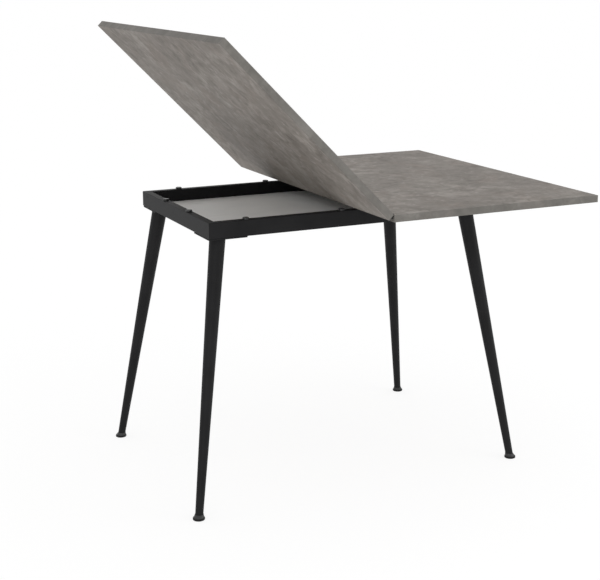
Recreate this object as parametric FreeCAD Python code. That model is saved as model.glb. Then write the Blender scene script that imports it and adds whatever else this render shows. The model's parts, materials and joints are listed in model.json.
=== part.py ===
import FreeCAD, Part
import math
import os
from FreeCAD import Vector

# A kitchen table whose top swivels a quarter turn on its frame and then unfolds like a book.
# The frame is a shallow tray of steel tube that stores small things under the top.
# Millimetres, +Z up. The fold line runs along Y, and +X points from it to the edge of the base leaf.
# The top is drawn swivelled open, with the flip leaf lifted half way.

# Both leaves of the top
leaf_short = 600.0
leaf_long = 900.0
leaf_thickness = 18.0
edging_thickness = 1.0
edging_joint_gap = 0.05
leaf_corner_round = 1.2
arris_radius = 0.6
flip_lift_angle = 45.0

# The fold: how far each leaf stands back from the line, and the axis above the leaf's top face
seam_half_gap = 0.5
fold_rise = 0.5

# Frame of mitred rectangular tube
frame_length = 780.0
frame_width = 490.0
rail_height = 40.0
rail_width = 20.0
tube_wall = 1.5
tube_round = 1.5

# Storage tray floor, a drop-in panel on flat steel ledges
ledge_width = 15.0
ledge_thickness = 3.0
floor_thickness = 5.0
floor_clearance = 0.5

# Legs of tapered round tube, leaning outwards along the diagonal, welded to corner plates
leg_height = 675.0
leg_inset = 36.0
leg_lean = 12.0
leg_top_radius = 20.0
leg_bottom_radius = 10.0
leg_wall = 1.5
plate_size = 100.0
plate_thickness = 3.0
plate_corner_cut = 5.0
plate_end_width = 45.0

# Feet pressed into the legs
foot_radius = 15.0
foot_rim_height = 5.0
foot_rim_round = 1.0
foot_height = 12.5
foot_shoulder = 0.8
spigot_length = 20.0
spigot_clearance = 0.5

# Screws that hold the leg plates to nuts welded inside the rails
leg_screw_radius = 3.0
leg_screw_head_radius = 5.25
leg_screw_end_inset = 10.0
leg_screw_pitch = 24.0
leg_nut_across_flats = 10.0
leg_nut_height = 5.0
leg_screw_tail = 0.5
leg_socket_across_flats = 4.0
leg_socket_depth = 1.6
screw_hole_clearance = 0.2
thread_clearance = 0.05

# Glide pads plugged into the tops of the rails
glide_radius = 8.0
glide_round = 1.2
glide_stem_radius = 3.0
glide_stem_depth = 5.5
glide_stem_clearance = 0.1
glide_clearance = 0.2
glide_end_inset = 100.0
glide_middle_offset = 30.0
glide_side_offset = 85.0

# Swivel: a pin on a plate under the base leaf turns in a flanged bush in a beam across the frame
beam_width = 40.0
pivot_headroom = 3.9
pivot_plate_size = 120.0
pivot_plate_thickness = 3.0
pivot_plate_round = 10.0
pivot_screw_inset = 10.0
pivot_screw_radius = 2.5
pivot_screw_head_radius = 5.0
pivot_screw_cover = 6.0
pivot_pin_radius = 6.0
pivot_shoulder_step = 1.0
pivot_shoulder_drop = 0.1
pivot_tail = 1.0
running_clearance = 0.05
bush_wall = 2.0
bush_flange_radius = 18.0
bush_flange_thickness = 2.0
pivot_washer_radius = 11.0
pivot_washer_thickness = 2.0
pivot_nut_across_flats = 17.0
pivot_nut_height = 5.0

# Swivel stop: a stud on the beam, in front of the pin, in a quarter-round slot of the pivot plate
stop_bearing = -90.0
stop_edge_distance = 15.0
stop_radius = 4.0
stop_slot_clearance = 0.3
stop_collar_radius = 6.5
stop_collar_clearance = 0.8
stop_tail = 4.0
stop_top_clearance = 0.3
swivel_travel = 90.0

# Butt hinges let into the edges of both leaves
hinge_length = 70.0
hinge_end_inset = 5.0
hinge_plate_thickness = 1.5
hinge_bottom_margin = 7.0
hinge_pin_radius = 1.2
knuckle_wall = 1.0
knuckle_count = 5
knuckle_gap = 0.3
knuckle_clearance = 0.3
hinge_seat_clearance = 0.2
hinge_screw_radius = 1.5
hinge_screw_head_radius = 2.7
hinge_screw_length = 16.0
hinge_screw_inset = 12.0

# Levels, from the floor up
rail_bottom = leg_height + plate_thickness
rail_top = rail_bottom + rail_height
floor_top = rail_bottom + ledge_thickness + floor_thickness
leaf_underside = rail_top + bush_flange_thickness + pivot_plate_thickness
leaf_top = leaf_underside + leaf_thickness
fold_z = leaf_top + fold_rise

# The pivot under the beam: the pin's end clears the tray floor, and the beam starts above the nut
pivot_end = floor_top + pivot_headroom
pivot_nut_bottom = pivot_end + pivot_tail
pivot_washer_bottom = pivot_nut_bottom + pivot_nut_height
pivot_shoulder = pivot_washer_bottom + pivot_washer_thickness
beam_bottom = pivot_shoulder + pivot_shoulder_drop

# Plan of the frame, legs and top about the middle of the frame
half_length = frame_length / 2
half_width = frame_width / 2
inner_half_length = half_length - rail_width
inner_half_width = half_width - rail_width
rail_middle = rail_width / 2
leg_screw_far = plate_size - leg_screw_end_inset
leg_screw_near = leg_screw_far - leg_screw_pitch
leg_run = leg_height * math.tan(math.radians(leg_lean)) / math.sqrt(2)
leaf_reach = seam_half_gap + leaf_short
half_long = leaf_long / 2
pivot_offset = (seam_half_gap + leaf_short / 2) / 2
stop_orbit = pivot_plate_size / 2 - stop_edge_distance

# Section of a hinge in the seam: the plate stands against the leaf's edge, under the knuckles
knuckle_radius = hinge_pin_radius + running_clearance + knuckle_wall
groove_radius = knuckle_radius + knuckle_clearance
hinge_plate_back = seam_half_gap + hinge_plate_thickness
hinge_plate_bottom = leaf_underside + hinge_bottom_margin
hinge_plate_top = fold_z - groove_radius
hinge_screw_z = (hinge_plate_bottom + hinge_plate_top) / 2

# The whole table's bottom centre is the stored origin, and every piece moves there when it is saved
lift = math.radians(flip_lift_angle)
foot_reach = half_length - leg_inset + leg_run + foot_radius
flip_reach = leaf_reach * math.cos(lift) + (leaf_thickness + fold_rise) * math.sin(lift)
origin_shift = Vector((max(foot_reach, flip_reach) - leaf_reach) / 2, 0, 0)

os.makedirs("parts", exist_ok=True)


def save(name, shape):
    """Write one piece, or one group of like pieces, in the stored frame."""
    placed = shape.copy()
    placed.translate(origin_shift)
    placed.exportStep("parts/" + name + ".step")


def box(low, high):
    """A block between two opposite corners."""
    size = Vector(*high) - Vector(*low)
    return Part.makeBox(size.x, size.y, size.z, Vector(*low))


def rod(radius, start, end):
    """A round bar from one point to another."""
    run = Vector(*end) - Vector(*start)
    return Part.makeCylinder(radius, run.Length, Vector(*start), run)


def prism(points, bottom, top):
    """An upright block on a plan outline."""
    corners = [Vector(x, y, bottom) for x, y in points]
    outline = Part.makePolygon(corners + corners[:1])
    return Part.Face(outline).extrude(Vector(0, 0, top - bottom))


def hexagon(across_flats, x, y, bottom, top):
    """An upright six-sided bar about a vertical axis."""
    reach = across_flats / math.sqrt(3)
    angles = [math.radians(60 * step) for step in range(6)]
    points = [(x + reach * math.cos(a), y + reach * math.sin(a)) for a in angles]
    return prism(points, bottom, top)


def countersunk(head_radius, shank_radius, head, way, length):
    """A screw with a flush conical head at a point, its shank pointing one way."""
    start = Vector(*head)
    depth = head_radius - shank_radius
    cone = Part.makeCone(head_radius, shank_radius, depth, start, way)
    shank = Part.makeCylinder(shank_radius, length, start, way)
    return cone.fuse(shank).removeSplitter()


def corners():
    """The four corners of the frame: name, side along X and side along Y."""
    for side_y, depth_name in ((-1, "front"), (1, "back")):
        for side_x, side_name in ((-1, "left"), (1, "right")):
            yield depth_name + "_" + side_name, side_x, side_y


def leg_screw_points(side_x, side_y):
    """Plan points of one leg plate's screws, two under each of the rails that meet there."""
    points = []
    for along in (leg_screw_near, leg_screw_far):
        points.append((side_x * (half_length - along), side_y * (half_width - rail_middle)))
        points.append((side_x * (half_length - rail_middle), side_y * (half_width - along)))
    return points


def all_leg_screw_points():
    """Plan points of every leg screw."""
    points = []
    for name, side_x, side_y in corners():
        points += leg_screw_points(side_x, side_y)
    return points


def glide_points():
    """Plan points of the glide pads: four on each long rail and two on each short one."""
    points = []
    for side_x in (-1, 1):
        for side_y in (-1, 1):
            for x in (half_length - glide_end_inset, glide_middle_offset):
                points.append((side_x * x, side_y * (half_width - rail_middle)))
            points.append((side_x * (half_length - rail_middle), side_y * glide_side_offset))
    return points


def tube_along_x(low, high):
    """A rectangular tube lying along X between two opposite corners, its long edges rounded."""
    outside = box(low, high)
    long_edges = [edge for edge in outside.Edges if edge.BoundBox.XLength > (high[0] - low[0]) / 2]
    outside = outside.makeFillet(tube_round, long_edges)
    inside_low = (low[0], low[1] + tube_wall, low[2] + tube_wall)
    inside_high = (high[0], high[1] - tube_wall, high[2] - tube_wall)
    return outside.cut(box(inside_low, inside_high))


def rail(length, turn, middle):
    """One mitred tube with its screw and glide holes, turned and set with its outer face on the outline."""
    half = length / 2
    tube = tube_along_x((-half, 0, rail_bottom), (half, rail_width, rail_top))
    plan = ((-half, 0), (half, 0), (half - rail_width, rail_width), (rail_width - half, rail_width))
    piece = tube.common(prism(plan, rail_bottom, rail_top))
    piece.rotate(Vector(0, 0, 0), Vector(0, 0, 1), turn)
    piece.translate(Vector(*middle))
    hole = leg_screw_radius + screw_hole_clearance
    stem_hole = glide_stem_radius + glide_stem_clearance
    inside = rail_bottom + rail_height / 2
    cuts = [rod(hole, (x, y, leg_height), (x, y, inside)) for x, y in all_leg_screw_points()]
    cuts += [rod(stem_hole, (x, y, inside), (x, y, leaf_underside)) for x, y in glide_points()]
    return piece.cut(cuts)


def save_frame():
    """The four rails and the flat ledges inside them that carry the tray floor."""
    save("front_rail", rail(frame_length, 0, (0, -half_width, 0)))
    save("back_rail", rail(frame_length, 180, (0, half_width, 0)))
    save("left_rail", rail(frame_width, -90, (-half_length, 0, 0)))
    save("right_rail", rail(frame_width, 90, (half_length, 0, 0)))
    ledge_top = rail_bottom + ledge_thickness
    for side_y, name in ((-1, "front"), (1, "back")):
        edges = sorted((side_y * inner_half_width, side_y * (inner_half_width - ledge_width)))
        low = (-inner_half_length, edges[0], rail_bottom)
        high = (inner_half_length, edges[1], ledge_top)
        save(name + "_floor_ledge", box(low, high))
    between = inner_half_width - ledge_width
    for side_x, name in ((-1, "left"), (1, "right")):
        edges = sorted((side_x * inner_half_length, side_x * (inner_half_length - ledge_width)))
        save(name + "_floor_ledge", box((edges[0], -between, rail_bottom), (edges[1], between, ledge_top)))
    panel_x = inner_half_length - floor_clearance
    panel_y = inner_half_width - floor_clearance
    save("storage_floor", box((-panel_x, -panel_y, ledge_top), (panel_x, panel_y, floor_top)))


def leg_points(side_x, side_y):
    """The ends of one leg's axis, under its plate and on the floor."""
    x = half_length - leg_inset
    y = half_width - leg_inset
    top = Vector(side_x * x, side_y * y, leg_height)
    floor = Vector(side_x * (x + leg_run), side_y * (y + leg_run), 0)
    return top, floor


def leg_tube(side_x, side_y):
    """A leaning tapered tube, cut level under its plate and on top of its foot."""
    top, floor = leg_points(side_x, side_y)
    way = (floor - top).normalize()
    tube_length = (leg_height - foot_height) / math.cos(math.radians(leg_lean))
    slope = (leg_top_radius - leg_bottom_radius) / tube_length
    spare = 2 * leg_top_radius
    start = top - way * spare
    length = (floor - top).Length + 2 * spare
    wide = leg_top_radius + slope * spare
    narrow = wide - slope * length
    outside = Part.makeCone(wide, narrow, length, start, way)
    inside = Part.makeCone(wide - leg_wall, narrow - leg_wall, length, start, way)
    reach = half_length + leg_run + spare
    level = box((-reach, -reach, foot_height), (reach, reach, leg_height))
    return outside.cut(inside).common(level)


def leg_plate(side_x, side_y):
    """A corner plate under the rails, its outer corner cut off and its inner side cut across."""
    outline = (
        (plate_corner_cut, 0),
        (plate_size, 0),
        (plate_size, plate_end_width),
        (plate_end_width, plate_size),
        (0, plate_size),
        (0, plate_corner_cut),
    )
    points = [(side_x * (half_length - x), side_y * (half_width - y)) for x, y in outline]
    wide = leg_screw_head_radius + screw_hole_clearance
    narrow = leg_screw_radius + screw_hole_clearance
    up = Vector(0, 0, 1)
    spots = [(x, y, leg_height) for x, y in leg_screw_points(side_x, side_y)]
    cuts = [countersunk(wide, narrow, spot, up, plate_thickness) for spot in spots]
    return prism(points, leg_height, rail_bottom).cut(cuts)


def foot(side_x, side_y):
    """A level round foot: rim, flare up to the leaning leg, and a spigot inside the leg."""
    top, floor = leg_points(side_x, side_y)
    way = (top - floor).normalize()
    neck = floor + way * (foot_height / way.z)
    rim = Part.makeCylinder(foot_radius, foot_rim_height, floor)
    eased = min(foot_rim_round, foot_rim_height / 3)
    rim = rim.makeFillet(eased, [edge for edge in rim.Edges if len(edge.Vertexes) == 1])
    low_ring = Part.makeCircle(foot_radius - eased, floor + Vector(0, 0, foot_rim_height))
    high_ring = Part.makeCircle(leg_bottom_radius + foot_shoulder, neck)
    flare = Part.makeLoft([Part.Wire(low_ring), Part.Wire(high_ring)], True, True)
    spigot_radius = leg_bottom_radius - leg_wall - spigot_clearance
    root = floor + way * foot_rim_height
    spigot = Part.makeCylinder(spigot_radius, foot_height - foot_rim_height + spigot_length, root, way)
    return rim.fuse([flare, spigot]).removeSplitter()


def leg_screw(x, y):
    """A flush socket screw up through the plate and the rail's wall into its nut."""
    length = plate_thickness + tube_wall + leg_nut_height + leg_screw_tail
    up = Vector(0, 0, 1)
    screw = countersunk(leg_screw_head_radius, leg_screw_radius, (x, y, leg_height), up, length)
    socket = hexagon(leg_socket_across_flats, x, y, leg_height, leg_height + leg_socket_depth)
    return screw.cut(socket)


def leg_nut(x, y):
    """A nut welded on the inside of a rail's lower wall."""
    bottom = rail_bottom + tube_wall
    body = hexagon(leg_nut_across_flats, x, y, bottom, bottom + leg_nut_height)
    return body.cut(rod(leg_screw_radius + thread_clearance, (x, y, bottom), (x, y, bottom + leg_nut_height)))


def save_legs():
    """Four legs with their plates and feet, and all their screws and nuts."""
    for name, side_x, side_y in corners():
        save(name + "_leg", leg_tube(side_x, side_y))
        save(name + "_leg_plate", leg_plate(side_x, side_y))
        save(name + "_foot", foot(side_x, side_y))
    spots = all_leg_screw_points()
    save("leg_screws", Part.makeCompound([leg_screw(x, y) for x, y in spots]))
    save("leg_weld_nuts", Part.makeCompound([leg_nut(x, y) for x, y in spots]))


def glide_pad(x, y):
    """A button with a rounded top edge and a stem plugged into the rail."""
    top = leaf_underside - glide_clearance
    button = rod(glide_radius, (x, y, rail_top), (x, y, top))
    rim = [edge for edge in button.Edges if edge.BoundBox.ZMin > (rail_top + top) / 2]
    button = button.makeFillet(glide_round, rim)
    stem = rod(glide_stem_radius, (x, y, rail_top - glide_stem_depth), (x, y, rail_top))
    return button.fuse(stem).removeSplitter()


def stop_point(turn, z):
    """A point on the stop stud's orbit about the pin, some degrees round from the stud."""
    bearing = math.radians(stop_bearing + turn)
    arm = Vector(math.cos(bearing), math.sin(bearing), 0) * stop_orbit
    return Vector(pivot_offset, pivot_offset, z) + arm


def save_swivel_seat():
    """What the frame holds for the swivel: beam, bush, stop stud and glide pads."""
    x = pivot_offset
    y = pivot_offset
    bush_radius = pivot_pin_radius + running_clearance + bush_wall
    bush_hole = rod(bush_radius + running_clearance, (x, y, beam_bottom), (x, y, rail_top))
    stud_bottom = stop_point(0, rail_top - stop_tail)
    stud_hole = rod(stop_radius + running_clearance, stud_bottom, stop_point(0, rail_top))
    half = beam_width / 2
    beam = tube_along_x((-inner_half_width, -half, beam_bottom), (inner_half_width, half, rail_top))
    beam.rotate(Vector(0, 0, 0), Vector(0, 0, 1), 90)
    beam.translate(Vector(x, 0, 0))
    save("pivot_beam", beam.cut([bush_hole, stud_hole]))

    flange_top = rail_top + bush_flange_thickness
    sleeve = rod(bush_radius, (x, y, beam_bottom), (x, y, rail_top))
    flange = rod(bush_flange_radius, (x, y, rail_top), (x, y, flange_top))
    bore = rod(pivot_pin_radius + running_clearance, (x, y, beam_bottom), (x, y, flange_top))
    save("pivot_bush", sleeve.fuse(flange).removeSplitter().cut(bore))

    stud = rod(stop_radius, stud_bottom, stop_point(0, leaf_underside - stop_top_clearance))
    collar_top = stop_point(0, flange_top - stop_collar_clearance)
    collar = rod(stop_collar_radius, stop_point(0, rail_top), collar_top)
    save("swivel_stop_stud", stud.fuse(collar).removeSplitter())
    save("glide_pads", Part.makeCompound([glide_pad(x, y) for x, y in glide_points()]))


def stop_slot():
    """The slot in the pivot plate: an arc about the pin from the stud round the swivel's travel."""
    half = stop_radius + stop_slot_clearance
    height = pivot_plate_thickness
    bottom = leaf_underside - height
    low = Vector(pivot_offset, pivot_offset, bottom)
    up = Vector(0, 0, 1)
    ring = Part.makeCylinder(stop_orbit + half, height, low, up, swivel_travel)
    ring = ring.cut(Part.makeCylinder(stop_orbit - half, height, low, up))
    ring.rotate(low, up, stop_bearing)
    ends = [Part.makeCylinder(half, height, stop_point(turn, bottom), up) for turn in (0, swivel_travel)]
    return ring.fuse(ends)


def pivot_screw_points():
    """Plan points of the screws at the corners of the pivot plate."""
    arm = pivot_plate_size / 2 - pivot_screw_inset
    return [(pivot_offset + sx * arm, pivot_offset + sy * arm) for sx in (-1, 1) for sy in (-1, 1)]


def save_pivot():
    """What turns with the top at the swivel: plate, its screws, pin, washer and nut."""
    x = pivot_offset
    y = pivot_offset
    bottom = leaf_underside - pivot_plate_thickness
    length = leaf_top - pivot_screw_cover - bottom
    up = Vector(0, 0, 1)
    half = pivot_plate_size / 2
    plate = box((x - half, y - half, bottom), (x + half, y + half, leaf_underside))
    upright = [edge for edge in plate.Edges if edge.BoundBox.ZLength > pivot_plate_thickness / 2]
    plate = plate.makeFillet(pivot_plate_round, upright)
    cuts = [stop_slot(), rod(pivot_pin_radius + running_clearance, (x, y, bottom), (x, y, leaf_underside))]
    screws = []
    for spot_x, spot_y in pivot_screw_points():
        head = (spot_x, spot_y, bottom)
        wide = pivot_screw_head_radius + screw_hole_clearance
        narrow = pivot_screw_radius + screw_hole_clearance
        cuts.append(countersunk(wide, narrow, head, up, pivot_plate_thickness))
        screws.append(countersunk(pivot_screw_head_radius, pivot_screw_radius, head, up, length))
    save("pivot_plate", plate.cut(cuts))
    save("pivot_plate_screws", Part.makeCompound(screws))

    thread_radius = pivot_pin_radius - pivot_shoulder_step
    pin = rod(pivot_pin_radius, (x, y, pivot_shoulder), (x, y, leaf_underside))
    thread = rod(thread_radius, (x, y, pivot_end), (x, y, pivot_shoulder))
    save("pivot_pin", pin.fuse(thread).removeSplitter())
    hole = rod(thread_radius + running_clearance, (x, y, pivot_nut_bottom), (x, y, pivot_shoulder))
    washer = rod(pivot_washer_radius, (x, y, pivot_washer_bottom), (x, y, pivot_shoulder))
    save("pivot_washer", washer.cut(hole))
    nut = hexagon(pivot_nut_across_flats, x, y, pivot_nut_bottom, pivot_washer_bottom)
    save("pivot_lock_nut", nut.cut(hole))


def hinge_places():
    """The hinges' names and middles along the fold."""
    end = half_long - hinge_end_inset - hinge_length / 2
    return (("front", -end), ("middle", 0), ("back", end))


def hinge_screw_spots(middle):
    """The outer ends of one hinge plate's screws, on the plate's face in the seam."""
    arm = hinge_length / 2 - hinge_screw_inset
    return [(seam_half_gap, middle + side * arm, hinge_screw_z) for side in (-1, 1)]


def hinge_seats():
    """What is cut out of a leaf for its hinges: pocket, groove round the knuckles and screw holes."""
    cuts = []
    for name, middle in hinge_places():
        half = hinge_length / 2 + hinge_seat_clearance
        low = (0, middle - half, hinge_plate_bottom - hinge_seat_clearance)
        cuts.append(box(low, (hinge_plate_back, middle + half, fold_z)))
        cuts.append(rod(groove_radius, (0, middle - half, fold_z), (0, middle + half, fold_z)))
        for x, y, z in hinge_screw_spots(middle):
            hole = hinge_screw_radius + screw_hole_clearance
            cuts.append(rod(hole, (x, y, z), (x + hinge_screw_length, y, z)))
    return cuts


def hinge_plate(middle, first_knuckle):
    """One hinge half on the base leaf's side, with every second knuckle from the first one given."""
    start = middle - hinge_length / 2
    end = middle + hinge_length / 2
    pitch = hinge_length / knuckle_count
    blade = box((seam_half_gap, start, hinge_plate_bottom), (hinge_plate_back, end, hinge_plate_top))
    pieces = []
    for step in range(first_knuckle, knuckle_count, 2):
        low = start + step * pitch + knuckle_gap / 2
        high = start + (step + 1) * pitch - knuckle_gap / 2
        pieces.append(box((seam_half_gap, low, hinge_plate_top), (hinge_plate_back, high, fold_z)))
        pieces.append(rod(knuckle_radius, (0, low, fold_z), (0, high, fold_z)))
    cuts = [rod(hinge_pin_radius + running_clearance, (0, start, fold_z), (0, end, fold_z))]
    for spot in hinge_screw_spots(middle):
        wide = hinge_screw_head_radius + screw_hole_clearance
        narrow = hinge_screw_radius + screw_hole_clearance
        cuts.append(countersunk(wide, narrow, spot, Vector(1, 0, 0), hinge_plate_thickness))
    return blade.fuse(pieces).removeSplitter().cut(cuts)


def hinge_screws():
    """All the screws of one leaf's hinge plates, driven into the leaf's edge."""
    screws = []
    for name, middle in hinge_places():
        for spot in hinge_screw_spots(middle):
            screw = countersunk(
                hinge_screw_head_radius, hinge_screw_radius, spot, Vector(1, 0, 0), hinge_screw_length
            )
            screws.append(screw)
    return Part.makeCompound(screws)


def leaf_board():
    """The board inside a leaf's edging, with its hinge seats."""
    low = (seam_half_gap + edging_thickness, edging_thickness - half_long, leaf_underside)
    high = (leaf_reach - edging_thickness, half_long - edging_thickness, leaf_top)
    return box(low, high).cut(hinge_seats())


def leaf_edging():
    """Four strips round a leaf with eased outer edges: two along the fold's way, two butted between them."""
    whole = box((seam_half_gap, -half_long, leaf_underside), (leaf_reach, half_long, leaf_top))
    upright = [edge for edge in whole.Edges if edge.BoundBox.ZLength > leaf_thickness / 2]
    whole = whole.makeFillet(leaf_corner_round, upright)
    rims = [edge for edge in whole.Edges if edge.BoundBox.ZLength < leaf_thickness / 2]
    whole = whole.makeFillet(arris_radius, rims)
    fold_side = seam_half_gap + edging_thickness
    free_side = leaf_reach - edging_thickness
    butt_low = fold_side + edging_joint_gap
    butt_high = free_side - edging_joint_gap
    inner_y = half_long - edging_thickness
    spans = (
        (seam_half_gap, fold_side, -half_long, half_long),
        (free_side, leaf_reach, -half_long, half_long),
        (butt_low, butt_high, -half_long, -inner_y),
        (butt_low, butt_high, inner_y, half_long),
    )
    strips = []
    for x_low, x_high, y_low, y_high in spans:
        strip = whole.common(box((x_low, y_low, leaf_underside), (x_high, y_high, leaf_top)))
        strips.append(strip.cut(hinge_seats()))
    return Part.makeCompound([solid for strip in strips for solid in strip.Solids])


def lifted(shape):
    """The same piece on the flip leaf: mirrored over the fold, then swung up about it."""
    piece = shape.mirror(Vector(0, 0, 0), Vector(1, 0, 0))
    piece.rotate(Vector(0, 0, fold_z), Vector(0, 1, 0), flip_lift_angle)
    return piece


def save_top():
    """Both leaves with their edging, hinges, pins and screws."""
    holes = []
    for x, y in pivot_screw_points():
        tip = leaf_top - pivot_screw_cover
        holes.append(rod(pivot_screw_radius + screw_hole_clearance, (x, y, leaf_underside), (x, y, tip)))
    save("base_leaf", leaf_board().cut(holes))
    save("base_leaf_edging", leaf_edging())
    save("base_hinge_screws", hinge_screws())
    save("flip_leaf", lifted(leaf_board()))
    save("flip_leaf_edging", lifted(leaf_edging()))
    save("flip_hinge_screws", lifted(hinge_screws()))
    for name, middle in hinge_places():
        save(name + "_hinge_base_plate", hinge_plate(middle, 0))
        save(name + "_hinge_flip_plate", lifted(hinge_plate(middle, 1)))
        start = (0, middle - hinge_length / 2, fold_z)
        save(name + "_hinge_pin", rod(hinge_pin_radius, start, (0, middle + hinge_length / 2, fold_z)))


save_frame()
save_legs()
save_swivel_seat()
save_pivot()
save_top()
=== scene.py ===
import json
import math

import bpy
import numpy as np
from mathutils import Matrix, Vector


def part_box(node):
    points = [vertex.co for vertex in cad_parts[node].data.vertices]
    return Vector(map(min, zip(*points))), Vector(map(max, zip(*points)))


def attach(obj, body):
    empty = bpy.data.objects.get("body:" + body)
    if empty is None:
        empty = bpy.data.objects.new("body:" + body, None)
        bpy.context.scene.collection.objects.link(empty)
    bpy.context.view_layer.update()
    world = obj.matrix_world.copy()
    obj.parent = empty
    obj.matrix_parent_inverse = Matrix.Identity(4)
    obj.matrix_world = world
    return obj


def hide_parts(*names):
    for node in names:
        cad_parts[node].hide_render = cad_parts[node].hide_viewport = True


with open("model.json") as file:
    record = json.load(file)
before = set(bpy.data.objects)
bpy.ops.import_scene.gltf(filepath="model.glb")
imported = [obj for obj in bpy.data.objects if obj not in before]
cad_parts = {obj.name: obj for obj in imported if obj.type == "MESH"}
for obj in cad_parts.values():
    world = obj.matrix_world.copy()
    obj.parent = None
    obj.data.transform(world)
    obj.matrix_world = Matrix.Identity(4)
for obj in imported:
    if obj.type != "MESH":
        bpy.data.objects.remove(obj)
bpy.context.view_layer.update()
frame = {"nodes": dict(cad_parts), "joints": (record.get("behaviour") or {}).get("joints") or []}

# The frame: a ring of 40 x 20 mm steel tube, mitred and welded at the corners, with flat ledges inside
# for the tray floor and a beam across it that carries the swivel. It is powder-coated black after welding,
# and the coat cures to a fine orange-peel skin.
coat_low = (22, 22, 23)
coat_high = (28, 28, 29)
coat_patch_size = 0.09
coat_patch_edges = (0.35, 0.65)
coat_roughness = 0.5
coat_patch_dulling = 0.08
coat_gloss = 0.15
speck_size = 0.011
speck_edges = (0.62, 0.72)
speck_dulling = 0.06
peel_size = 0.0016
peel_height = 0.00006
sides = ("front", "back", "left", "right")


def light(red, green, blue):
    """A colour of the 0 to 255 screen scale as the linear light that a shader takes."""
    screen = np.array([red, green, blue]) / 255
    linear = np.where(screen > 0.04045, ((screen + 0.055) / 1.055) ** 2.4, screen / 12.92)
    return (*linear.tolist(), 1.0)


class Wire:
    """An output socket in a node tree. Operators on it add Math nodes."""

    def __init__(self, tree, socket):
        self.tree = tree
        self.socket = socket

    def node(self, kind, settings, inputs, result=0):
        """A new node in the same tree: first its settings, then the values or wires of its inputs."""
        made = self.tree.nodes.new(kind)
        stops = settings.pop("stops", [])
        for name, setting in settings.items():
            setattr(made, name, setting)
        for number, (place, colour) in enumerate(stops):
            ends = made.color_ramp.elements
            stop = ends[number] if number < len(ends) else ends.new(place)
            stop.position = place
            stop.color = colour
        for name, value in inputs.items():
            if isinstance(value, Wire):
                self.tree.links.new(value.socket, made.inputs[name])
            else:
                made.inputs[name].default_value = value
        return Wire(self.tree, made.outputs[result])

    def math(self, operation, first, second):
        """A Math node on two numbers or wires."""
        return self.node("ShaderNodeMath", {"operation": operation}, {0: first, 1: second})

    def __add__(self, other):
        return self.math("ADD", self, other)

    def __radd__(self, other):
        return self.math("ADD", other, self)

    def __sub__(self, other):
        return self.math("SUBTRACT", self, other)

    def __rsub__(self, other):
        return self.math("SUBTRACT", other, self)

    def __mul__(self, other):
        return self.math("MULTIPLY", self, other)

    def __rmul__(self, other):
        return self.math("MULTIPLY", other, self)

    def cloud(self, size, detail=2.0, swirl=0.0):
        """Soft noise from 0 to 1 on these coordinates, in patches about size across, in metres."""
        inputs = {"Vector": self, "Scale": 1 / size, "Detail": detail, "Distortion": swirl}
        return self.node("ShaderNodeTexNoise", {}, inputs)

    def between(self, low, high):
        """0 below low, 1 above high and a smooth rise between them."""
        inputs = {"Value": self, "From Min": low, "From Max": high}
        return self.node("ShaderNodeMapRange", {"interpolation_type": "SMOOTHSTEP"}, inputs)

    def blend(self, first, second):
        """The first colour where this is 0, the second where it is 1."""
        return self.node("ShaderNodeMix", {"data_type": "RGBA"}, {0: self, 6: first, 7: second}, 2)

    def stretch(self, along_x, along_y, along_z):
        """These coordinates drawn out, so that a pattern on them is that many times as long."""
        inputs = {"Scale": (1 / along_x, 1 / along_y, 1 / along_z), "Vector": self}
        return self.node("ShaderNodeMapping", {}, inputs)

    def height(self):
        """The third of these coordinates."""
        return self.node("ShaderNodeSeparateXYZ", {}, {0: self}, 2)

    def bump(self, height):
        """A surface normal from this as relief, height metres from 0 to 1."""
        return self.node("ShaderNodeBump", {}, {"Height": self, "Distance": height})


def material_of(name, recipe, constants):
    """A material: constants go on the shader's own sockets, and recipe gives the wires of what varies."""
    material = bpy.data.materials.new(name)
    material.use_nodes = True
    tree = material.node_tree
    shader = tree.nodes["Principled BSDF"]
    place = tree.nodes.new("ShaderNodeTexCoord").outputs["Object"]
    for socket, value in constants.items():
        shader.inputs[socket].default_value = value
    for socket, wire in recipe(Wire(tree, place)).items():
        tree.links.new(wire.socket, shader.inputs[socket])
    return material


def dress(material, *names):
    """Puts a material on CAD pieces."""
    for name in names:
        for place in frame["nodes"][name].material_slots:
            place.material = material


def powder_coat(place):
    """Black with faint patches, a fine orange peel and sparse specks where the powder flowed less."""
    patches = place.cloud(coat_patch_size)
    specks = place.cloud(speck_size, detail=4.0).between(*speck_edges)
    return {
        "Base Color": patches.between(*coat_patch_edges).blend(light(*coat_low), light(*coat_high)),
        "Roughness": coat_roughness + coat_patch_dulling * patches + speck_dulling * specks,
        "Normal": place.cloud(peel_size, detail=1.0).bump(peel_height),
    }


coat = material_of("black_powder_coat", powder_coat, {"Specular IOR Level": coat_gloss})
dress(coat, *[side + "_rail" for side in sides], *[side + "_floor_ledge" for side in sides], "pivot_beam")

# The legs: round steel tube drawn down to half its width, cut level and leaning outwards along the diagonal.
# Each is welded to a corner plate by a bead run round its top, and is coated together with it.
leg_inset = 0.036
leg_top_radius = 0.020
leg_bottom_radius = 0.010
leg_wall = 0.0015
leg_steps = 24
around = 72
sharp_angle = math.radians(35)
bead_radius = 0.0026
bead_ripples = 42
bead_ripple_share = 0.07
bead_steps = 504
bead_around = 16
level_part = np.array([1.0, 1.0, 0.0])  # takes the height out of a vector
upward = np.array([0.0, 0.0, 1.0])
corners = [(depth, side) for depth in ("front", "back") for side in ("left", "right")]


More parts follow.
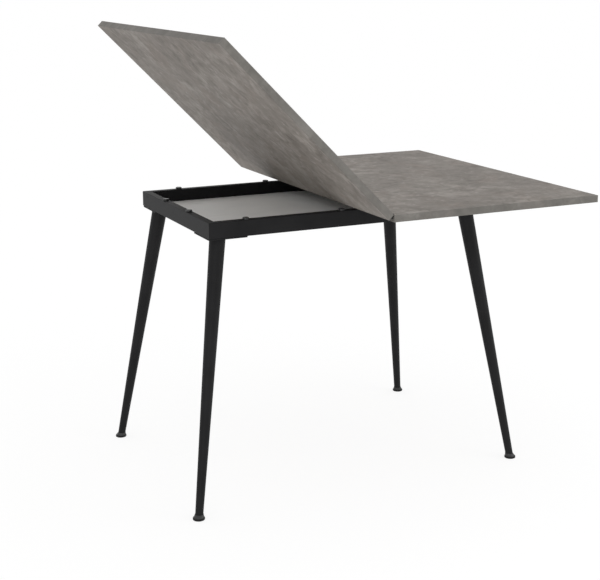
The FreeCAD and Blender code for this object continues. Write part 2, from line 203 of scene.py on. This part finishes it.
def ring_mesh(name, rings, material, body, closed):
    """A piece from rings of points, each seen counterclockwise from the ring after it. Quads join ring to
    ring, and the ends are joined to each other when closed, or else capped."""
    count, points, _ = rings.shape
    index = np.arange(count * points).reshape(count, points)
    here = index if closed else index[:-1]
    after = np.roll(index, -1, 0) if closed else index[1:]
    quads = np.stack([here, np.roll(here, -1, 1), np.roll(after, -1, 1), after], -1)
    caps = [] if closed else [index[0, ::-1].tolist(), index[-1].tolist()]
    mesh = bpy.data.meshes.new(name)
    mesh.from_pydata(rings.reshape(-1, 3).tolist(), [], quads.reshape(-1, 4).tolist() + caps)
    mesh.shade_smooth()
    mesh.set_sharp_from_angle(angle=sharp_angle)
    mesh.materials.append(material)
    piece = bpy.data.objects.new(name, mesh)
    bpy.context.collection.objects.link(piece)
    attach(piece, body)
    return piece


def corner_points(depth, side):
    """Where a leg's centre line meets the plate above and the floor below."""
    low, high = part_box("front_rail")[0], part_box("back_rail")[1]
    plate_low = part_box(depth + "_" + side + "_leg_plate")[0]
    foot_low, foot_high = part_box(depth + "_" + side + "_foot")
    head_x = low.x + leg_inset if side == "left" else high.x - leg_inset
    head_y = low.y + leg_inset if depth == "front" else high.y - leg_inset
    foot = (foot_low + foot_high) / 2
    return np.array([head_x, head_y, plate_low.z]), np.array([foot.x, foot.y, foot_low.z])


def along_and_across(run):
    """Level unit vectors in the direction in which a leg leans, and square to it."""
    along = run * level_part / np.linalg.norm(run[:2])
    return along, np.array([-along[1], along[0], 0.0])


def level_rings(centres, radii, run, long):
    """Level ellipses about a row of centres: radius times cosine times long in the direction of the lean,
    and radius times sine across it."""
    along, across = along_and_across(run)
    turn = np.linspace(0, 2 * np.pi, around, endpoint=False)[:, None]
    outline = np.cos(turn) * along * long + np.sin(turn) * across
    return centres[:, None, :] + radii[:, None, None] * outline


def leg_rings(head, floor, bottom):
    """A tapered tube, up its outside and down its inside: centres on the line from floor to head, and a
    radius that grows evenly from the bottom to the top, less the wall on the way down."""
    run = head - floor
    share = np.linspace(0, 1, leg_steps)
    level = bottom + (head[2] - bottom) * share
    radius = leg_bottom_radius + (leg_top_radius - leg_bottom_radius) * share
    level = np.concatenate([level, level[::-1]])
    radius = np.concatenate([radius, radius[::-1] - leg_wall])
    centres = floor + run * ((level - floor[2]) / run[2])[:, None]
    return level_rings(centres, radius, run, long=np.linalg.norm(run) / run[2])


def bead_rings(head, floor):
    """A rippled round bead carried round the leg's top: its radius swells and sinks by the sine of the turn
    times the number of ripples."""
    run = head - floor
    along, across = along_and_across(run)
    turn = np.linspace(0, 2 * np.pi, bead_steps, endpoint=False)[:, None]
    outward = np.cos(turn) * along + np.sin(turn) * across
    long = np.linalg.norm(run) / run[2]
    path = head + leg_top_radius * (np.cos(turn) * along * long + np.sin(turn) * across)
    radius = bead_radius * (1 + bead_ripple_share * np.sin(bead_ripples * turn))[:, :, None]
    section = np.linspace(0, 2 * np.pi, bead_around, endpoint=False)[None, :, None]
    return path[:, None] + radius * (np.cos(section) * upward + np.sin(section) * outward[:, None])


for depth, side in corners:
    corner = depth + "_" + side
    head, floor = corner_points(depth, side)
    rings = leg_rings(head, floor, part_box(corner + "_leg")[0].z)
    tube = ring_mesh(corner + "_tapered_leg", rings, coat, "frame", closed=True)
    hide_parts(corner + "_leg")
    ring_mesh(corner + "_weld_bead", bead_rings(head, floor), coat, "frame", closed=True)
    dress(coat, corner + "_leg_plate")

# The feet: dark plastic mouldings with a level round rim, a flare that follows the leg's lean and a spigot
# pressed into the tube. The mould leaves a fine even grain. The rim is rougher and painted black as shade.
rim_radius = 0.015
rim_height = 0.005
rim_round = 0.001
rim_line = (rim_height + rim_round / 2, rim_height + 2 * rim_round)
rim_waver = 0.001
flare_radius = 0.0141
neck_radius = 0.0110
flare_bend = 1.4
spigot_radius = 0.0080
spigot_shortfall = 0.0015
foot_arc_steps = 8
foot_flare_steps = 20
# The rim's near-black is painted shade, standing in for the shade on its side next to the floor.
rim_painted_shade_low = (5, 5, 5)
rim_painted_shade_high = (11, 11, 11)
rim_roughness = 0.6
plastic_low = (43, 43, 44)
plastic_high = (55, 55, 56)
plastic_patch_size = 0.012
plastic_patch_dulling = 0.12
plastic_smoothing = 0.3
plastic_gloss = 0.3
grain_size = 0.0007
grain_height = 0.00004


def foot_rings(head, floor, neck_level, spigot_level):
    """From the sole outwards and up: quarter arcs round the rim's two edges, a flare whose radius falls as a
    power of the height left, a narrow shoulder and the spigot. Centres lean with the leg above the rim."""
    lower = np.linspace(-np.pi / 2, 0, foot_arc_steps)
    upper = np.linspace(0, np.pi / 2, foot_arc_steps)
    share = np.linspace(0, 1, foot_flare_steps)
    edge = rim_radius - rim_round
    flare = neck_radius + (flare_radius - neck_radius) * (1 - share) ** flare_bend
    radius = np.concatenate([
        edge + rim_round * np.cos(lower),
        edge + rim_round * np.cos(upper),
        flare,
        [spigot_radius, spigot_radius],
    ])
    level = np.concatenate([
        rim_round + rim_round * np.sin(lower),
        rim_height - rim_round + rim_round * np.sin(upper),
        rim_height + (neck_level - rim_height) * share,
        [neck_level, spigot_level],
    ])
    run = head - floor
    leant = np.clip((level - rim_height) / (neck_level - rim_height), 0, None) * neck_level
    leant = np.where(level > neck_level, level, leant)
    centres = floor + np.outer(leant / run[2], run * level_part) + np.outer(level, upward)
    return level_rings(centres, radius, run, long=1.0)


def moulded_dark(place):
    """Dark plastic with a fine mould grain and faint patches of gloss, dull up to the rim and painted black
    there as shade.
    """
    patches = place.cloud(plastic_patch_size, detail=3.0)
    above_rim = (place.height() + rim_waver * patches).between(*rim_line)
    # Painted shade: below the rim line the plastic is coloured near-black.
    rim = patches.blend(light(*rim_painted_shade_low), light(*rim_painted_shade_high))
    flare = patches.blend(light(*plastic_low), light(*plastic_high))
    return {
        "Base Color": above_rim.blend(rim, flare),
        "Roughness": rim_roughness - plastic_smoothing * above_rim + plastic_patch_dulling * patches,
        "Normal": place.cloud(grain_size, detail=1.0).bump(grain_height),
    }


foot_plastic = material_of("moulded_foot_plastic", moulded_dark, {"Specular IOR Level": plastic_gloss})
for depth, side in corners:
    corner = depth + "_" + side
    head, floor = corner_points(depth, side)
    neck_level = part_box(corner + "_leg")[0].z
    spigot_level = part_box(corner + "_foot")[1].z - spigot_shortfall
    rings = foot_rings(head, floor, neck_level, spigot_level)
    foot = ring_mesh(corner + "_flared_foot", rings, foot_plastic, "frame", closed=False)
    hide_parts(corner + "_foot")

# The leg screws and the nuts welded inside the rails for them: blackened screws hold each corner plate up
# against the rails, and the nuts are plain zinc-plated steel.
black_low = (20, 20, 21)
black_high = (34, 34, 35)
blotch_size = 0.003
black_roughness = 0.5
blotch_polish = 0.16
black_metal = 0.6
black_gloss = 0.4
draw_line_size = 0.0006
draw_line_height = 0.00002
zinc_dull = (148, 150, 152)
zinc_bright = (196, 198, 202)
crystal_size = 0.004
crystal_swirl = 0.4
crystal_edges = (0.3, 0.7)
zinc_roughness = 0.26
crystal_dulling = 0.16
roll_line_stretch = (1.0, 14.0, 1.0)
roll_line_height = 0.000015


def blackened_steel(place):
    """Oiled black oxide: darker and lighter blotches, shinier where it is thin."""
    blotch = place.cloud(blotch_size, detail=3.0)
    return {
        "Base Color": blotch.blend(light(*black_low), light(*black_high)),
        "Roughness": black_roughness - blotch_polish * blotch,
        "Normal": place.cloud(draw_line_size, detail=1.0).bump(draw_line_height),
    }


def zinc_plate(place):
    """Bright zinc over rolled steel: small cloudy crystals and fine lines from the rolling."""
    crystals = place.cloud(crystal_size, detail=3.0, swirl=crystal_swirl)
    lines = place.stretch(*roll_line_stretch).cloud(draw_line_size, detail=1.0)
    return {
        "Base Color": crystals.between(*crystal_edges).blend(light(*zinc_dull), light(*zinc_bright)),
        "Roughness": zinc_roughness + crystal_dulling * crystals,
        "Normal": lines.bump(roll_line_height),
    }


black_finish = {"Metallic": black_metal, "Specular IOR Level": black_gloss}
black_steel = material_of("blackened_screw_steel", blackened_steel, black_finish)
zinc_steel = material_of("zinc_plated_steel", zinc_plate, {"Metallic": 1.0})
dress(black_steel, "leg_screws")
dress(zinc_steel, "leg_weld_nuts")

# The glide pads: black nylon buttons pressed into the top of the rails, on which the leaves slide and rest.
# Their crowns are burnished by the leaves.
glide_low = (6, 6, 7)
glide_high = (13, 13, 14)
rub_size = 0.004
rub_polish = 0.2
glide_roughness = 0.46
glide_gloss = 0.5
glide_grain_size = 0.0005
glide_grain_height = 0.00002


def burnished_nylon(place):
    """Black nylon, smoother in the rubbed patches."""
    rubbed = place.cloud(rub_size, detail=3.0)
    return {
        "Base Color": rubbed.blend(light(*glide_low), light(*glide_high)),
        "Roughness": glide_roughness - rub_polish * rubbed,
        "Normal": place.cloud(glide_grain_size, detail=1.0).bump(glide_grain_height),
    }


dress(material_of("glide_nylon", burnished_nylon, {"Specular IOR Level": glide_gloss}), "glide_pads")

# The tray floor: a thin fibreboard panel with a pale grey lacquer on top, dropped on to the ledges.
# The lacquer shows a faint roller stipple and small scuffs from use, and the underside is raw board.
lacquer_low = (229, 229, 227)
lacquer_high = (239, 239, 237)
lacquer_depth = 0.0004
lacquer_tone_size = 0.12
lacquer_tone_edges = (0.2, 0.8)
lacquer_smoothing = 0.24
lacquer_gloss = 0.3
stipple_size = 0.0014
stipple_height = 0.00003
scuff_size = 0.02
scuff_stretch = (6.0, 1.0, 1.0)
scuff_edges = (0.6, 0.72)
scuff_darkening = 0.35
scuff_dulling = 0.12
board_low = (112, 84, 58)
board_high = (146, 114, 82)
board_roughness = 0.8
fibre_size = 0.0016
fibre_stretch = (1.0, 3.0, 1.0)
fibre_edges = (0.3, 0.7)


def rolled_lacquer(place):
    """Lacquer within its depth of the top face: slow changes of tone, thin scuffs along the tray and a
    roller stipple. Below it brown board, flecked with short fibres."""
    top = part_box("storage_floor")[1].z
    coated = place.height().between(top - lacquer_depth, top - lacquer_depth / 2)
    tone = place.cloud(lacquer_tone_size, detail=3.0).between(*lacquer_tone_edges)
    scuffs = place.stretch(*scuff_stretch).cloud(scuff_size, detail=6.0).between(*scuff_edges)
    lacquer = (tone - scuff_darkening * scuffs).blend(light(*lacquer_low), light(*lacquer_high))
    fibres = place.stretch(*fibre_stretch).cloud(fibre_size, detail=3.0).between(*fibre_edges)
    board = fibres.blend(light(*board_low), light(*board_high))
    return {
        "Base Color": coated.blend(board, lacquer),
        "Roughness": board_roughness + coated * (scuff_dulling * scuffs - lacquer_smoothing),
        "Normal": place.cloud(stipple_size, detail=1.0).bump(stipple_height),
    }


tray_lacquer = material_of("tray_floor_lacquer", rolled_lacquer, {"Specular IOR Level": lacquer_gloss})
dress(tray_lacquer, "storage_floor")

# The swivel: a steel plate screwed under the base leaf with a pin welded to it, which turns in a nylon bush
# in the beam and is held from below by a washer and a lock nut. A stud in the beam stops it at each end.
nylon_low = (206, 202, 190)
nylon_high = (222, 219, 208)
milk_size = 0.006
milk_dulling = 0.14
nylon_roughness = 0.38
nylon_gloss = 0.45
turned_size = 0.0006
turned_height = 0.00002


def natural_nylon(place):
    """Uncoloured nylon: milky, with slow changes of warmth and a turned skin."""
    milk = place.cloud(milk_size)
    return {
        "Base Color": milk.blend(light(*nylon_low), light(*nylon_high)),
        "Roughness": nylon_roughness + milk_dulling * milk,
        "Normal": place.cloud(turned_size, detail=1.0).bump(turned_height),
    }


dress(material_of("natural_bush_nylon", natural_nylon, {"Specular IOR Level": nylon_gloss}), "pivot_bush")
dress(zinc_steel, "pivot_plate", "pivot_plate_screws", "pivot_pin", "pivot_washer", "pivot_lock_nut")
dress(zinc_steel, "swivel_stop_stud")

# The leaves: 18 mm particle board with a concrete-look melamine on both faces and a matching strip on each
# edge. The print is soft grey clouds with warm and green casts, pale flecks and pinholes, under a matt press
# grain, and both leaves are cut from one long sheet of it.
cement_dark = (98, 92, 86)
cement_mid = (127, 121, 115)
cement_light = (156, 150, 144)
dark_tone = 0.36
mid_tone = 0.5
light_tone = 0.64
noise_middle = 0.5
drift_size = 0.22
drift_share = 0.19
mottle_size = 0.07
mottle_swirl = 0.6
mottle_share = 0.25
mottle_dulling = 0.1
grit_size = 0.01
grit_share = 0.09
smear_size = 0.026
smear_swirl = 0.8
smear_share = 0.2
worked_size = 0.16
worked_edges = (0.36, 0.64)
worked_share = 0.24
tone_base = 0.235
cement_warm = (139, 123, 113)
warm_size = 0.08
warm_stretch = (1.0, 1.2, 1.0)
warm_edges = (0.48, 0.66)
warm_share = 0.14
cement_green = (117, 120, 109)
green_size = 0.06
green_stretch = (1.2, 1.0, 1.0)
green_edges = (0.5, 0.66)
green_share = 0.08
cast_swirl = 0.6
cement_fleck = (172, 167, 161)
fleck_size = 0.02
fleck_stretch = (1.3, 1.0, 1.0)
fleck_swirl = 0.5
fleck_edges = (0.62, 0.72)
fleck_share = 0.32
fleck_polish = 0.08
cement_pore = (80, 75, 70)
pore_size = 0.0035
pore_edges = (0.7, 0.76)
pore_share = 0.6
melamine_roughness = 0.58
melamine_gloss = 0.2
press_grain_size = 0.0012
press_grain_height = 0.00004
strip_shade = (97, 98, 95)
strip_share = 0.56
strip_patch_size = 0.05
strip_patch_share = 0.1
sheet_shift = 5.39
flip_joint = next(joint for joint in frame["joints"] if joint["name"] == "leaf_flip")
lifted = math.radians(-flip_joint["range_deg"][0])


def laid_flat(place):
    """Coordinates in the flip leaf's own plane: turned back about the fold line by the angle it is lifted,
    and moved along the sheet that both leaves are cut from."""
    fold_x, fold_y, fold_z = flip_joint["pos_m"]
    start = (fold_x, fold_y + sheet_shift, fold_z)
    inputs = {"Vector": place, "Location": start, "Rotation": (0.0, lifted, 0.0)}
    return place.node("ShaderNodeMapping", {"vector_type": "TEXTURE"}, inputs)


def concrete(place):
    """Clouds of four sizes added up into one tone, smeared more in some places than in others, with casts,
    flecks and pores laid over it."""
    drift = place.cloud(drift_size)
    mottle = place.cloud(mottle_size, detail=5.0, swirl=mottle_swirl)
    smear = place.cloud(smear_size, detail=6.0, swirl=smear_swirl)
    grit = place.cloud(grit_size, detail=3.0)
    worked = place.cloud(worked_size).between(*worked_edges)
    tone = drift_share * drift + mottle_share * mottle + grit_share * grit
    tone = tone + (smear_share + worked_share * worked) * (smear - noise_middle) + tone_base
    stops = [
        (dark_tone, light(*cement_dark)),
        (light_tone, light(*cement_light)),
        (mid_tone, light(*cement_mid)),
    ]
    grey = tone.node("ShaderNodeValToRGB", {"stops": stops}, {"Fac": tone})
    warm_cloud = place.stretch(*warm_stretch).cloud(warm_size, detail=4.0, swirl=cast_swirl)
    green_cloud = place.stretch(*green_stretch).cloud(green_size, detail=4.0, swirl=cast_swirl)
    fleck_cloud = place.stretch(*fleck_stretch).cloud(fleck_size, detail=4.0, swirl=fleck_swirl)
    flecks = fleck_cloud.between(*fleck_edges)
    pores = place.cloud(pore_size).between(*pore_edges)
    colour = (warm_share * warm_cloud.between(*warm_edges)).blend(grey, light(*cement_warm))
    colour = (green_share * green_cloud.between(*green_edges)).blend(colour, light(*cement_green))
    colour = (fleck_share * flecks).blend(colour, light(*cement_fleck))
    colour = (pore_share * pores).blend(colour, light(*cement_pore))
    return {
        "Base Color": colour,
        "Roughness": melamine_roughness + mottle_dulling * mottle - fleck_polish * flecks,
        "Normal": (place.cloud(press_grain_size) - pores).bump(press_grain_height),
    }


def edge_strip(place):
    """The same print on the strip, a shade darker and softer."""
    print_on = concrete(place)
    softened = strip_share - strip_patch_share * place.cloud(strip_patch_size)
    return {**print_on, "Base Color": softened.blend(print_on["Base Color"], light(*strip_shade))}


matt = {"Specular IOR Level": melamine_gloss}
dress(material_of("base_leaf_melamine", concrete, matt), "base_leaf")
dress(material_of("flip_leaf_melamine", lambda place: concrete(laid_flat(place)), matt), "flip_leaf")
dress(material_of("base_edge_strip", edge_strip, matt), "base_leaf_edging")
dress(material_of("flip_edge_strip", lambda place: edge_strip(laid_flat(place)), matt), "flip_leaf_edging")

# The hinges: pairs of blackened plates let into the meeting edges of the two leaves, with a pin through
# their knuckles and countersunk screws, so that the leaves meet closely when open.
for spot in ("front", "middle", "back"):
    dress(black_steel, spot + "_hinge_base_plate", spot + "_hinge_flip_plate", spot + "_hinge_pin")
dress(black_steel, "base_hinge_screws", "flip_hinge_screws")

# The studio: a plain white floor under an even white sky, with a large soft lamp on the right and a weaker
# one low on the left. To the camera the floor is nearly white, with the shadow left faint in it.
floor_half = 80.0
floor_level = -0.0003
floor_white = (0.93, 0.93, 0.93, 1.0)
floor_glow = 1.06
shadow_kept = 0.22
sky_white = (1.0, 1.0, 1.0, 1.0)
sky_light = 0.845
# each lamp's place, width, height and power
lamps = {
    "right_lamp": ((2.6, -2.4, 1.6), 2.0, 2.0, 23.0),
    "low_lamp": ((-2.2, -2.6, 0.5), 2.4, 0.7, 12.0),
}
lamp_aim = Vector((0.0, 0.0, 0.6))


def seen_directly(tree):
    """1 for what the camera sees straight, in a mirror or through glass, and 0 for the light that falls."""
    rays = tree.nodes.new("ShaderNodeLightPath").outputs
    kinds = [Wire(tree, rays[kind]) for kind in ("Is Camera Ray", "Is Glossy Ray", "Is Transmission Ray")]
    return kinds[0] + kinds[1] + kinds[2]


floor_mesh = bpy.data.meshes.new("studio_floor")
floor_corners = [(-1, -1), (1, -1), (1, 1), (-1, 1)]
floor_points = [(floor_half * x, floor_half * y, floor_level) for x, y in floor_corners]
floor_mesh.from_pydata(floor_points, [], [(0, 1, 2, 3)])
floor_paint = bpy.data.materials.new("studio_white")
floor_paint.use_nodes = True
floor_tree = floor_paint.node_tree
floor_tree.nodes.remove(floor_tree.nodes["Principled BSDF"])
seen = seen_directly(floor_tree)
paint = seen.node("ShaderNodeBsdfDiffuse", {}, {"Color": floor_white})
glow = seen.node("ShaderNodeEmission", {}, {"Strength": floor_glow})
shown = seen.node("ShaderNodeMixShader", {}, {0: seen * (1 - shadow_kept), 1: paint, 2: glow})
floor_tree.links.new(shown.socket, floor_tree.nodes["Material Output"].inputs["Surface"])
floor_mesh.materials.append(floor_paint)
floor_piece = bpy.data.objects.new("studio_floor", floor_mesh)
bpy.context.collection.objects.link(floor_piece)

world = bpy.data.worlds.new("studio_sky")
world.use_nodes = True
bpy.context.scene.world = world
strength = sky_light + (1 - sky_light) * seen_directly(world.node_tree)
sky = world.node_tree.nodes["Background"]
sky.inputs["Color"].default_value = sky_white
world.node_tree.links.new(strength.socket, sky.inputs["Strength"])

for name, (spot, width, height, power) in lamps.items():
    lamp = bpy.data.lights.new(name, "AREA")
    lamp.shape = "RECTANGLE"
    lamp.size = width
    lamp.size_y = height
    lamp.energy = power
    holder = bpy.data.objects.new(name, lamp)
    holder.location = spot
    holder.rotation_euler = (lamp_aim - holder.location).to_track_quat("-Z", "Y").to_euler()
    bpy.context.collection.objects.link(holder)

# The camera: a long lens a little above the leaves, to the left of the front, framed as in the photograph.
# Its place, lens and shift were fitted to the straight edges of the table there.
view_turn = math.radians(-25.9824)
view_rise = math.radians(13.1124)
view_distance = 3.427149
view_centre = Vector((-0.060398, 0.0, 0.542321))
picture_width, picture_height = 600, 580
focal_pixels = 1263.449
middle_pixel_x, middle_pixel_y = 312.725, 257.955
film_width = 36.0

camera = bpy.data.cameras.new("photo_camera")
camera.sensor_width = film_width
camera.lens = focal_pixels / picture_width * film_width
camera.shift_x = (picture_width / 2 - middle_pixel_x) / picture_width
camera.shift_y = (middle_pixel_y - picture_height / 2) / picture_width
tripod = bpy.data.objects.new("photo_camera", camera)
level_view = Vector((math.sin(view_turn), -math.cos(view_turn), 0.0)) * math.cos(view_rise)
tripod.location = view_centre + view_distance * (level_view + Vector((0.0, 0.0, math.sin(view_rise))))
tripod.rotation_euler = (view_centre - tripod.location).to_track_quat("-Z", "Y").to_euler()
bpy.context.collection.objects.link(tripod)
bpy.context.scene.camera = tripod
bpy.context.scene.view_settings.view_transform = "Standard"
